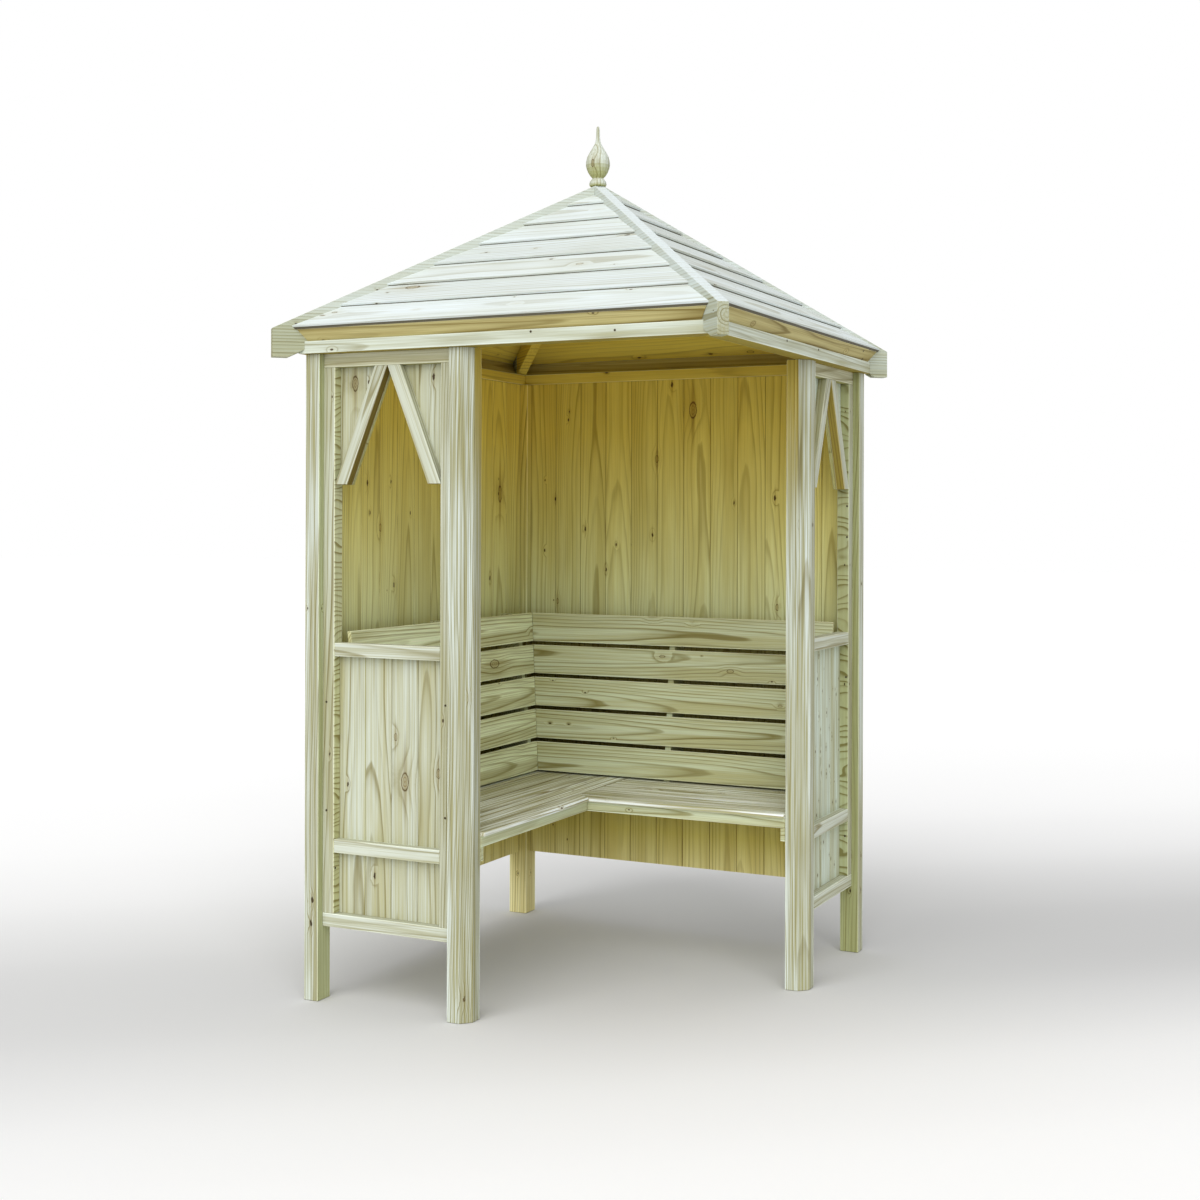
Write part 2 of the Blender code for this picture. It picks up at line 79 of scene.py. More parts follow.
def between(tree, share, first, second):
    return add(tree, "Mix", {0: share, 2: first, 3: second}).outputs[0]


def vector(tree, operation, *values):
    node = add(tree, "VectorMath", enumerate(values), operation=operation)
    return node.outputs["Value" if operation in ("LENGTH", "DOT_PRODUCT") else "Vector"]


def point(tree, x, y, z):
    return add(tree, "CombineXYZ", {0: x, 1: y, 2: z}).outputs[0]


def split(tree, value):
    return add(tree, "SeparateXYZ", {0: value}).outputs


def ease(tree, value, low, high, at_low, at_high):
    """Smooth change from one level to another as a value goes from low to high."""
    sockets = {0: value, 1: low, 2: high, 3: at_low, 4: at_high}
    return add(tree, "MapRange", sockets, interpolation_type="SMOOTHSTEP").outputs[0]


def cloud(tree, place, scale, detail=2.0):
    """Soft noise, stretched by a different scale along each direction."""
    sockets = {
        "Vector": vector(tree, "MULTIPLY", place, scale),
        "Scale": 1.0, "Detail": detail, "Roughness": 0.55,
    }
    return add(tree, "TexNoise", sockets).outputs[0]


def mixed(tree, share, first, second, way="MIX"):
    sockets = {0: share, 6: first, 7: second}
    return add(tree, "Mix", sockets, data_type="RGBA", blend_type=way).outputs[2]


def darkened(tree, share, colour, by):
    """Colour multiplied by another, as far as the share says."""
    return mixed(tree, share, colour, by + (1.0,), "MULTIPLY")


def brightened(tree, colour, level):
    return add(tree, "VectorMath", {0: colour, "Scale": level}, operation="SCALE").outputs["Vector"]


# Knots: about how far apart strewn ones lie along and across the grain, and the radius
# of the largest, in metres. A set knot of RINGED or more shows its own rings, a smaller
# one is black, and the SLIM pairs divide the length and width of a knot or its trail.
RINGED = 0.005
RINGED_KNOTS = ((0.26, 0.085), 0.0075)
BLACK_KNOTS = ((0.10, 0.036), 0.0034)
RINGED_SLIM = (0.46, 1.0)
BLACK_SLIM = (0.45, 1.0)
TRAIL_SLIM = (0.09, 1.7)
KNOT_ROUGH = 0.005
NO_KNOT = 50.0


def scattered_knots(tree, along, over, seed, cell, size, share):
    """Distance from the nearest knot in knot radii, for knots strewn over a face."""
    place = point(tree, maths(tree, "DIVIDE", along, cell[0]), over, 0.0)
    place = vector(tree, "MULTIPLY_ADD", place, (1.0, 1.0 / cell[1], 0.0), (seed, seed * 0.7, 0.0))
    cells = add(tree, "TexVoronoi", {"Vector": place, "Scale": 1.0}, voronoi_dimensions="2D")
    off = vector(tree, "SUBTRACT", place, cells.outputs["Position"])
    distance = vector(tree, "LENGTH", vector(tree, "MULTIPLY", off, (cell[0] * 0.5, cell[1], 0.0)))
    luck = add(tree, "SeparateColor", {0: cells.outputs["Color"]})
    radius = plus(tree, luck.outputs[0], size * 0.6, size * 0.4)
    absent = maths(tree, "GREATER_THAN", luck.outputs[1], share)
    return plus(tree, absent, NO_KNOT, maths(tree, "DIVIDE", distance, radius))


def set_knots(tree, place, turn, middle, marks, slim, near):
    """Least distance in knot radii to knots set at (x, y, z, radius), or near if less."""
    for x, y, z, radius in marks:
        off = vector(tree, "SUBTRACT", place, turn @ Vector((x, y, z)) - middle)
        off = vector(tree, "MULTIPLY", off, (slim[0] / radius, slim[1] / radius, slim[1] / radius))
        near = maths(tree, "MINIMUM", near, vector(tree, "LENGTH", off))
    return near


def find_knots(tree, place, along, over, seed, turn, middle, marks, knots, dots):
    """Distances in knot radii to ringed knots, to black ones and to their trails."""
    rough = add(tree, "TexNoise", {"Vector": place, "Scale": 110.0, "Detail": 1.0}).outputs[1]
    rough = vector(tree, "MULTIPLY_ADD", rough, (KNOT_ROUGH,) * 3, (-KNOT_ROUGH / 2,) * 3)
    rough = vector(tree, "ADD", place, rough)
    wide = [mark for mark in marks if mark[3] >= RINGED]
    tight = [mark for mark in marks if mark[3] < RINGED]
    ringed = scattered_knots(tree, along, over, seed, *RINGED_KNOTS, knots)
    ringed = set_knots(tree, rough, turn, middle, wide, RINGED_SLIM, ringed)
    black = scattered_knots(tree, along, over, seed + 5.0, *BLACK_KNOTS, dots)
    black = set_knots(tree, rough, turn, middle, tight, BLACK_SLIM, black)
    trail = set_knots(tree, place, turn, middle, marks, TRAIL_SLIM, maths(tree, "ADD", black, 1.0))
    return ringed, black, trail


# Growth rings: how a year darkens towards its late wood, as (share of the ring,
# darkness), how far the pith wanders across the piece, how much the rings lean along
# it and swell round a knot, and how they waver on a face and on a reveal.
LATE_WOOD = ((0.50, 0.04), (0.71, 0.36), (0.85, 1.0), (0.94, 0.85))
PITH_WANDER = (0.0, 0.05, 0.03)
RING_LEAN = 0.012
RING_SWELL = 0.007
RING_WAVER = (2.2, 26.0, 26.0)
CROSS_WAVER = (8.0, 3.0, 5.0)


def count_rings(tree, u, v, w, grain, count, pith_v, pith_w, ring, halo):
    """How many rings lie between a spot and the pith."""
    wander = {"Vector": point(tree, times(tree, u, 1.1), count, 0.0), "Scale": 1.0, "Detail": 1.0}
    wander = add(tree, "TexNoise", wander).outputs[1]
    wander = vector(tree, "MULTIPLY_ADD", wander, PITH_WANDER, tuple(-far / 2 for far in PITH_WANDER))
    spot = vector(tree, "ADD", point(tree, 0.0, v, w), wander)
    depth = vector(tree, "LENGTH", vector(tree, "SUBTRACT", spot, point(tree, 0.0, pith_v, pith_w)))
    depth = plus(tree, u, RING_LEAN, depth)
    depth = plus(tree, halo, RING_SWELL, depth)
    return plus(tree, cloud(tree, grain, RING_WAVER), 0.9, maths(tree, "DIVIDE", depth, ring))


def growth_lines(tree, rings):
    """Dark late wood at the end of each year's ring, some years stronger than others."""
    year = maths(tree, "FLOOR", rings)
    late = add(tree, "ValToRGB", {0: maths(tree, "SUBTRACT", rings, year)})
    stops = late.color_ramp.elements
    stops[0].color = stops[1].color = (0.0, 0.0, 0.0, 1.0)
    for at, level in LATE_WOOD:
        stops.new(at).color = (level, level, level, 1.0)
    strength = add(tree, "TexWhiteNoise", {"W": year}, noise_dimensions="1D").outputs["Value"]
    return times(tree, late.outputs[0], plus(tree, strength, 0.75, 0.25))


# Painted shade: under the roof, the faces that look inward take an olive of their own,
# warmer and more saturated than outside, in place of the shade that falls there. It is
# painted lighter at the foot, darkest behind the bench, and darker still on faces that
# look straight down: height above the ground in metres, then the colour. A face is inside
# within INSIDE_REACH of the roof's middle, or under the foot of the walls, and where
# its height and its reach down the slope stay under the roof. The triples named DEEP
# darken a colour to that of the grain in it.
INSIDE = (
    (0.10, tint(252, 246, 190)), (0.32, tint(213, 200, 108)), (0.55, tint(150, 136, 72)),
    (0.95, tint(170, 160, 96)), (1.06, tint(212, 218, 168)), (1.40, tint(225, 217, 134)),
    (1.66, tint(235, 216, 106)), (1.92, tint(240, 217, 98)),
)
INSIDE_TALL = 2.0
INSIDE_DEEP = (0.80, 0.74, 0.55)
GIVEN_DEEP = (0.80, 0.76, 0.60)
ROOF_MIDDLE = Vector((0.010, 0.010, 0.0))
ROOF_SLOPE = 0.686
UNDER_ROOF = 2.352
INSIDE_REACH = 0.660
WALL_FOOT = 0.212

# Rain bleaching and painted sky light whiten upper faces, and in part all that stands above these heights
OPEN_TO_RAIN_AND_SKY = (1.90, 1.97)
RAIN_AND_SKY_SHARE = 0.55
WASHED_AND_SKYLIT_DEEP = (0.90, 0.90, 0.86)
UNDER_DEEP = (0.86, 0.82, 0.66)


def inside_colour(tree, height, slope, shade):
    """The inside's painted-shade olive at a height, painted darker still on faces that look straight
    down.
    """
    ramp = add(tree, "ValToRGB", {0: maths(tree, "DIVIDE", height, INSIDE_TALL)})
    stops = ramp.color_ramp.elements
    stops.remove(stops[0])
    stops[0].position = INSIDE[0][0] / INSIDE_TALL
    stops[0].color = INSIDE[0][1]
    for at, colour in INSIDE[1:]:
        stops.new(at / INSIDE_TALL).color = colour
    return brightened(tree, ramp.outputs[0], ease(tree, slope, -0.93, -0.98, shade, shade * 0.45))


def paint_inside_shade(tree, here, pale, deep, low, full, shade, colour=None, within=INSIDE_REACH):
    """Paint shade: swap in the inside colours, or the one given, on inward faces above a height."""
    x, y, z = split(tree, vector(tree, "SUBTRACT", here.outputs["Object"], ROOF_MIDDLE))
    slope = split(tree, here.outputs["Normal"])[2]
    reach = maths(tree, "MAXIMUM", maths(tree, "ABSOLUTE", x), maths(tree, "ABSOLUTE", y))
    away = vector(tree, "NORMALIZE", point(tree, x, y, 0.0))
    outward = vector(tree, "DOT_PRODUCT", away, here.outputs["Normal"])
    share = ease(tree, outward, 0.06, 0.26, 1.0, 0.0)
    near = maths(tree, "LESS_THAN", reach, within)
    share = times(tree, share, maths(tree, "MAXIMUM", near, maths(tree, "LESS_THAN", z, WALL_FOOT)))
    share = times(tree, share, maths(tree, "LESS_THAN", plus(tree, reach, ROOF_SLOPE, z), UNDER_ROOF))
    share = times(tree, share, ease(tree, z, low, full, 0.0, 1.0))
    share = times(tree, share, ease(tree, slope, 0.1, 0.35, 1.0, 0.0))
    inside = colour or inside_colour(tree, z, slope, shade)
    darker = darkened(tree, 1.0, inside, GIVEN_DEEP if colour else INSIDE_DEEP)
    return mixed(tree, share, pale, inside), mixed(tree, share, deep, darker)


def weathered_and_painted_light(tree, here, pale, deep, shelter, washed, under):
    """The wood's two colours with rain bleaching and painted sky light on upper faces,
    painted shade on inward faces under the roof and on lower faces, and how far the
    growth lines stay."""
    slope = split(tree, here.outputs["Normal"])[2]
    stay = 1.0
    if washed:
        above = split(tree, here.outputs["Object"])[2]
        rain_and_sky_share = ease(tree, slope, 0.60, 0.80, 0.0, 1.0)
        rain_and_sky_share = maths(tree, "MAXIMUM", rain_and_sky_share, ease(tree, above, *OPEN_TO_RAIN_AND_SKY, 0.0, RAIN_AND_SKY_SHARE))
        pale = mixed(tree, rain_and_sky_share, pale, washed)
        deep = mixed(tree, rain_and_sky_share, deep, darkened(tree, 1.0, washed, WASHED_AND_SKYLIT_DEEP))
        stay = plus(tree, rain_and_sky_share, -0.75, 1.0)
    if shelter:
        pale, deep = paint_inside_shade(tree, here, pale, deep, *shelter)
    if under:
        colour, begin, end = under
        down = ease(tree, slope, begin, end, 0.0, 1.0)
        pale = mixed(tree, down, pale, colour)
        deep = mixed(tree, down, deep, darkened(tree, 1.0, colour, UNDER_DEEP))
    return pale, deep, stay


# Softwood's finer patterns: noise along the grain, across it and through the piece,
# and what each darker mark multiplies the wood's colour by.
FIBRE = (9.0, 420.0, 420.0)
THREADS = (2.0, 190.0, 190.0)
STREAKS = (1.3, 17.0, 17.0)
PATCHES = (2.4, 5.0, 5.0)
GROWTH_LINE = (0.42, 0.35, 0.16)
KNOT_HALO = (0.72, 0.62, 0.40)
KNOT_TRAIL = (0.48, 0.38, 0.20)
KNOT_LOOP = (0.62, 0.48, 0.26)
KNOT_RIM = (0.24, 0.16, 0.07)
KNOT_BLACK = (0.13, 0.08, 0.04)
END_GRAIN = (0.90, 0.86, 0.76)
# Then a painted shadow at the foot of each roof lap, the dark joint between boards, and a painted
# highlight added along each arris.
LAP_SHADOW = (0.10, 0.07, 0.02)
BOARD_JOINT = (0.35, 0.27, 0.12)
ARRIS_HIGHLIGHT = (0.26, 0.28, 0.26)
LEDGE_LINE = 0.0004
GRAIN_DEPTH = 0.0007


def timber(name, along, across, pale, deep, board=0.0, start=None, pith=(0.010, 0.060), ring=0.0085,
           lines=0.9, knots=0.08, dots=0.05, marks=(), fine=0.5, streaks=0.6, cross=0.0,
           joint=0.0020, ledged=False, shelter=None, washed=None, under=None, butts=None):
    """Dress one piece in softwood, with rings round a wandering pith, fibre and knots.

    along and across are the grain and the board's width; board is the width of one
    board where a piece holds several side by side, counted from start. pith is how
    far off the tree's middle may lie and ring the width of a year. marks are the
    larger knots, knots and dots the shares of strewn ringed and black ones. cross is
    how many rings a metre show on the reveals, joint how wide the dark edge of each
    board is, ledged sets off the ledges nailed across the boards. shelter paints the
    inside shade on inward faces, washed whitens upper faces for rain bleaching and
    painted sky light, under paints shade on lower faces, and butts paints the shadow
    at the foot of a lap.
    """
    luck = random.Random("wood_" + name)
    seed = luck.uniform(1.0, 60.0)
    tone = luck.uniform(-1.0, 1.0)
    pith_v = luck.uniform(-1.0, 1.0) * pith[0]
    pith_w = luck.choice((-1.0, 1.0)) * pith[1] * luck.uniform(0.7, 1.3)
    turn = Matrix((along, across, along.cross(across)))
    spin = turn.to_euler("XYZ")
    places = [turn @ vertex.co for vertex in nodes[name].data.vertices]
    low = Vector([min(p[i] for p in places) for i in range(3)])
    high = Vector([max(p[i] for p in places) for i in range(3)])
    middle = turn @ Vector(start) if start else (low + high) / 2

    material = bpy.data.materials.new("wood_" + name)
    material.use_nodes = True
    tree = material.node_tree
    shader = tree.nodes["Principled BSDF"]
    here = add(tree, "TexCoord")
    place = add(tree, "Mapping", {0: here.outputs["Object"], 1: -middle, 2: spin}).outputs[0]
    facing = add(tree, "Mapping", {0: here.outputs["Normal"], 2: spin}, vector_type="VECTOR").outputs[0]
    downhill = split(tree, facing)[1]
    end_on, edge_on, face_on = split(tree, vector(tree, "ABSOLUTE", facing))
    side_on = maths(tree, "GREATER_THAN", edge_on, face_on)

    # Along, across and through the piece, then within each board, cut from its own tree
    u, v, w = split(tree, place)
    count = seed
    plain = 1.0
    if ledged:
        plain = maths(tree, "LESS_THAN", w, LEDGE_LINE)
        u, v = between(tree, plain, v, u), between(tree, plain, u, v)
    if board:
        number = times(tree, maths(tree, "FLOOR", maths(tree, "DIVIDE", v, board)), plain)
        v = maths(tree, "SUBTRACT", v, plus(tree, number, board, board / 2))
        count = plus(tree, number, 7.31, seed)
        dice = add(tree, "TexWhiteNoise", {"W": count}, noise_dimensions="1D").outputs["Color"]
        first, second, third = add(tree, "SeparateColor", {0: dice}).outputs
        u = plus(tree, first, 9.0, u)
        pith_v = plus(tree, second, board * 1.3, -board * 0.65)
        pith_w = plus(tree, third, pith[1], pith[1] * 0.5)
        tone = plus(tree, third, 2.0, -1.0)
    grain = point(tree, u, v, maths(tree, "ADD", w, count) if board else w)

    # Knots: a ringed heart in a dark rim, a black heart, and a halo round either
    over = maths(tree, "ADD", between(tree, side_on, v, w), times(tree, count, 0.37))
    ringed, black, trail = find_knots(tree, place, u, over, seed, turn, middle, marks, knots, dots)
    halo = ease(tree, maths(tree, "MINIMUM", ringed, black), 0.6, 4.2, 1.0, 0.0)
    heart = ease(tree, ringed, 0.85, 1.05, 1.0, 0.0)
    rim = times(tree, heart, ease(tree, ringed, 0.62, 0.92, 0.0, 1.0))
    loops = maths(tree, "SINE", times(tree, ringed, 17.0))
    loops = times(tree, heart, ease(tree, loops, 0.0, 0.9, 0.15, 0.75))
    black = ease(tree, black, 0.65, 1.1, 1.0, 0.0)
    trail = ease(tree, trail, 0.35, 1.2, 1.0, 0.0)

    # Growth rings, cut across on the reveals of a piece that shows them so
    rings = count_rings(tree, u, v, w, grain, count, pith_v, pith_w, ring, halo)
    if cross:
        wave = plus(tree, cloud(tree, grain, CROSS_WAVER), 7.0, count)
        rings = between(tree, side_on, rings, plus(tree, u, cross, wave))
    late = growth_lines(tree, rings)
    if cross:
        bold = plus(tree, side_on, 0.9, 1.0)
        late = add(tree, "Math", {0: late, 1: bold}, operation="MULTIPLY", use_clamp=True).outputs[0]

    # Colour, from the broad tone to the finest marks
    body, deep, stay = weathered_and_painted_light(tree, here, pale, deep, shelter, washed, under)
    for scale, detail, begin, end, share in (
        (THREADS, 2.0, 0.42, 0.62, fine),
        (STREAKS, 3.0, 0.42, 0.66, streaks),
        (PATCHES, 2.0, 0.48, 0.75, 0.35),
    ):
        noise = cloud(tree, grain, scale, detail)
        body = mixed(tree, ease(tree, noise, begin, end, 0.0, share), body, deep)
    for share, by in (
        (times(tree, times(tree, late, lines), stay), GROWTH_LINE),
        (times(tree, halo, 0.25), KNOT_HALO),
        (times(tree, trail, 0.6), KNOT_TRAIL),
        (loops, KNOT_LOOP),
        (times(tree, rim, 0.9), KNOT_RIM),
        (times(tree, black, 0.97), KNOT_BLACK),
        (ease(tree, end_on, 0.6, 0.8, 0.0, 1.0), END_GRAIN),
    ):
        body = darkened(tree, share, body, by)

    # Edges: a painted shadow at the foot of a lap, the dark joint between boards, or a painted pale
    # highlight along the arris
    to_edge = maths(tree, "SUBTRACT", (board or high[1] - low[1]) / 2, maths(tree, "ABSOLUTE", v))
    if butts:
        foot = times(tree, ease(tree, downhill, -0.5, -0.8, 0.0, 0.92), ease(tree, w, *butts, 1.0, 0.0))
        body = darkened(tree, foot, body, LAP_SHADOW)
    elif board:
        edge = times(tree, ease(tree, to_edge, joint * 0.2, joint, 0.65, 0.0), plain)
        body = darkened(tree, edge, body, BOARD_JOINT)
    else:
        to_face = maths(tree, "SUBTRACT", (high[2] - low[2]) / 2, maths(tree, "ABSOLUTE", w))
        arris = ease(tree, maths(tree, "ADD", to_edge, to_face), 0.0006, 0.0034, 0.85, 0.0)
        body = mixed(tree, arris, body, vector(tree, "ADD", body, ARRIS_HIGHLIGHT))

    # Fibre lights and darkens the wood, dulls it and raises its grain
    fibre = cloud(tree, grain, FIBRE, 3.0)
    level = plus(tree, tone, 0.045, plus(tree, fibre, 0.30, 0.85))
    gloss = plus(tree, late, -0.08, plus(tree, fibre, 0.22, 0.55))
    height = plus(tree, late, 0.45, times(tree, fibre, 0.55))
    height = plus(tree, rim, -0.5, height)
    bump = add(tree, "Bump", {"Strength": 0.55, "Distance": GRAIN_DEPTH, "Height": height})
    tree.links.new(brightened(tree, body, level), shader.inputs["Base Color"])
    tree.links.new(gloss, shader.inputs["Roughness"])
    tree.links.new(bump.outputs[0], shader.inputs["Normal"])
    shader.inputs["Specular IOR Level"].default_value = 0.28
    nodes[name].material_slots[0].material = material


# How much painted shade a piece takes under the roof: the heights between which the inside colour
# comes in, how bright it is, then a colour of its own and a reach of its own if it has them.
EVERYWHERE = (-1.0, 0.0, 1.0)
# Painted shade on the posts' inward faces: a darker colour on the left corner post, a darker one still on
# the right corner post, and on the entry posts the inside olive dimmed to 0.64 from 1.15 m up.
INWARD = EVERYWHERE + (tint(191, 199, 158),)
INWARD_SHADED = EVERYWHERE + (tint(166, 172, 126),)
INWARD_ABOVE = (1.15, 1.86, 0.64)
BACK_POST_INSIDE = EVERYWHERE + (None, 0.592)
FRAME_PALE = tint(213, 222, 214)
FRAME_DEEP = tint(154, 149, 98)
POSTS = (
    ("post_corner_left", (0.110, 0.085), INWARD,
     ((-0.594, -0.615, 0.219, 0.0048), (-0.590, -0.615, 0.285, 0.0046))),
    ("post_entry_left", (0.085, 0.060), INWARD_ABOVE,
     ((-0.100, -0.601, 0.069, 0.0065), (-0.092, -0.593, 0.880, 0.0040))),
    ("post_back", (0.200, 0.085), BACK_POST_INSIDE, ()),
    ("post_entry_right", (0.120, 0.085), INWARD_ABOVE, ()),
    ("post_corner_right", (0.700, 0.085), INWARD_SHADED, ()),
)
for name, pith, shelter, marks in POSTS:
    timber(name, Z_AXIS, X_AXIS, FRAME_PALE, FRAME_DEEP, pith=pith, ring=0.0054, lines=0.95,
           knots=0.03, marks=marks, fine=0.85, streaks=0.52, shelter=shelter)

# Side panels. Each is a frame of square battens screwed between a corner post and
# an entry post, boarded below the arm rail, with two slanting battens under its
# top rail, planted on short boards, that leave a pointed window between them.
RAIL_PALE = tint(208, 214, 200)
TOP_RAIL_PALE = tint(208, 209, 182)
BRACE_PALE = tint(200, 205, 188)
BRACE_RUN = 0.134
BRACE_DROP = 0.332
# Painted shade: the braces' lower faces take the darker colour under the braces, coming in between these
# slopes of the face.
BRACE_UNDER = (-0.05, -0.30)
BOARD_PALE = tint(214, 219, 206)
BOARD_DEEP = tint(174, 170, 122)
PANEL_BOARD = 0.0875
# Painted shade: the panel pieces' inward faces take this darker olive.
PANEL_INSIDE = EVERYWHERE + (tint(190, 190, 134),)
# Panel, its direction, its boards' colour and small knots, and its reveals' rings a
# metre and painted-shade colour, then the painted shade under its braces
PANELS = (
    ("left_panel", X_AXIS, tint(202, 208, 192), 0.0, 64.0, tint(206, 210, 170), tint(126, 110, 46)),
    ("right_panel", Y_AXIS, tint(218, 232, 220), 0.70, 36.0, tint(184, 191, 149), tint(168, 153, 74)),
)
PANEL_MARKS = {
    "left_panel_boards": (
        (-0.504, -0.565, 0.611, 0.0035), (-0.313, -0.565, 0.632, 0.0130), (-0.344, -0.565, 0.755, 0.0055),
        (-0.204, -0.565, 0.662, 0.0070), (-0.413, -0.565, 0.361, 0.0042),
    ),
    "left_panel_spandrel_boards": (
        (-0.483, -0.565, 1.746, 0.0110), (-0.223, -0.565, 1.756, 0.0048), (-0.437, -0.565, 1.749, 0.0030),
    ),
    "left_panel_stile_outer": ((-0.547, -0.593, 0.698, 0.0028),),
    "right_panel_boards": (
        (0.563, 0.300, 0.860, 0.0026), (0.563, 0.395, 0.905, 0.0026), (0.563, 0.345, 0.700, 0.0024),
        (0.563, 0.280, 0.335, 0.0036), (0.563, 0.420, 0.790, 0.0024), (0.563, 0.240, 0.640, 0.0028),
    ),
}
for tag, along, board_pale, dots, cross, reveal, shaded in PANELS:
    for piece in ("top_rail", "arm_rail", "mid_rail", "bottom_rail"):
        pale = TOP_RAIL_PALE if piece == "top_rail" else RAIL_PALE
        timber(tag + "_" + piece, along, Z_AXIS, pale, FRAME_DEEP, pith=(0.030, 0.045), knots=0.04,
               shelter=PANEL_INSIDE)
    for piece in ("stile_outer", "stile_entry"):
        name = tag + "_" + piece
        timber(name, Z_AXIS, along, RAIL_PALE, FRAME_DEEP, pith=(0.060, 0.050), knots=0.03,
               marks=PANEL_MARKS.get(name, ()), cross=cross, shelter=EVERYWHERE + (reveal,))
    for piece, side in (("brace_outer", -1.0), ("brace_entry", 1.0)):
        lean = (side * BRACE_RUN * along - BRACE_DROP * Z_AXIS).normalized()
        over = (BRACE_DROP * along + side * BRACE_RUN * Z_AXIS).normalized()
        timber(tag + "_" + piece, lean, over, BRACE_PALE, FRAME_DEEP, pith=(0.010, 0.040), knots=0.04,
               shelter=PANEL_INSIDE, under=(shaded,) + BRACE_UNDER)
    for piece in ("boards", "spandrel_boards"):
        name = tag + "_" + piece
        timber(name, Z_AXIS, along, board_pale, BOARD_DEEP, board=PANEL_BOARD, start=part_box(name)[0],
               pith=(0.030, 0.085), ring=0.0072, knots=0.0, dots=dots,
               marks=PANEL_MARKS.get(name, ()), joint=0.0013, shelter=PANEL_INSIDE)

# Back walls. Upright tongued boards are nailed to three ledges on the outside; on
# the inside, under the roof, they take the painted inside shade, a deeper olive that deepens upward.
WALL_BOARD = 0.096
# The left wall's painted inside shade is painted 1.12 times as bright, for the more light that falls on
# it.
LEFT_WALL_INSIDE = (-1.0, 0.0, 1.12)
RIGHT_MARKS = (
    (0.057, 0.598, 1.727, 0.0140), (-0.073, 0.598, 1.567, 0.0065), (-0.089, 0.598, 1.312, 0.0035),
    (-0.262, 0.598, 1.194, 0.0038), (-0.341, 0.598, 1.331, 0.0038), (-0.457, 0.598, 1.434, 0.0036),
    (-0.404, 0.598, 1.734, 0.0024), (-0.448, 0.598, 1.082, 0.0052), (0.354, 0.598, 1.081, 0.0055),
    (0.346, 0.598, 1.435, 0.0045), (-0.019, 0.598, 1.814, 0.0048), (0.204, 0.598, 1.419, 0.0028),
)
LEFT_MARKS = (
    (-0.581, 0.430, 1.449, 0.0140), (-0.581, 0.364, 1.166, 0.0045), (-0.581, -0.360, 1.470, 0.0048),
    (-0.581, -0.235, 1.476, 0.0032), (-0.581, -0.291, 1.338, 0.0060), (-0.581, -0.217, 1.163, 0.0042),
)
WALLS = (
    ("wall_right_boards", X_AXIS, (-0.552, 0.610, 1.0), RIGHT_MARKS, EVERYWHERE),
    ("wall_left_boards", Y_AXIS, (-0.593, 0.569, 1.0), LEFT_MARKS, LEFT_WALL_INSIDE),
)
for name, along, start, marks, shelter in WALLS:
    timber(name, Z_AXIS, along, BOARD_PALE, BOARD_DEEP, board=WALL_BOARD, start=start,
           pith=(0.030, 0.080), ring=0.0062, lines=0.70, knots=0.0, dots=0.03, marks=marks, fine=0.35,
           ledged=True, shelter=shelter)

# Ring of wall plates. Flat planed battens, mitred at the corners, lie on the posts
# and panels and tie the four sides together under the eaves.
PLATE_PALE = tint(212, 220, 206)
SIDES = (
    ("front", X_AXIS, -Y_AXIS),
    ("right", Y_AXIS, X_AXIS),
    ("back", -X_AXIS, Y_AXIS),
    ("left", -Y_AXIS, -X_AXIS),
)
# Their inward faces and undersides take the painted inside shade.
for side, along, out in SIDES:
    timber("plate_" + side, along, Z_AXIS, PLATE_PALE, FRAME_DEEP, pith=(0.010, 0.05), lines=0.6,
           knots=0.03, fine=0.35, shelter=EVERYWHERE)

# Hip rafters. Four deep boards on edge meet under the finial, sit over the corners
# of the ring and run out past it, where their tails are cut plumb and level.
# Hip tops take this whiter colour for rain bleaching and for painted sky light; the roof boards are this
# colour throughout.
WASHED_AND_SKYLIT = tint(224, 233, 234)
HIP_PALE = tint(193, 202, 189)
# Painted shade: the left hip takes a darker copy of the hips' colour.
SHADED_LEFT_HIP_PALE = tint(181, 187, 162)
HIP_DEEP = tint(166, 163, 118)
# Their inward faces take the painted inside shade within their own reach.
HIP_INSIDE = EVERYWHERE + (None, 0.610)
for name, degrees in (("hip_left", 225), ("hip_front", 315), ("hip_right", 45), ("hip_back", 135)):
    angle = math.radians(degrees)
    out = Vector((math.cos(angle), math.sin(angle), 0.0))
    pale = SHADED_LEFT_HIP_PALE if name == "hip_left" else HIP_PALE
    timber(name, out, Z_AXIS.cross(out), pale, HIP_DEEP, pith=(0.004, 0.30), ring=0.0090, knots=0.04,
           fine=0.4, streaks=0.4, shelter=HIP_INSIDE, washed=WASHED_AND_SKYLIT)

# Fascias. A board under each eave stands square to the roof boards, its foot on
# the wall plate, in the shade of the overhang and of a darker tan.
FASCIA_PALE = tint(200, 190, 132)
FASCIA_DEEP = tint(160, 142, 80)
# Painted shade: the fascias' inward faces take the inside olive, dimmed to 0.85.
FASCIA_INSIDE = (-1.0, 0.0, 0.85)
for side, along, out in SIDES:
    timber("fascia_" + side, along, (ROOF_SLOPE * out + Z_AXIS).normalized(), FASCIA_PALE, FASCIA_DEEP,
           pith=(0.015, 0.05), lines=1.0, knots=0.06, shelter=FASCIA_INSIDE)

# Roof boards. Seven courses of tapered boards lap up each slope, cut to the hips
# and nailed through; they are the palest wood, almost white where rain has washed
# the treatment out.
EAVE = 0.6615
EAVE_Z = 1.897
COURSE = 0.0955 * math.sqrt(1.0 + ROOF_SLOPE ** 2)
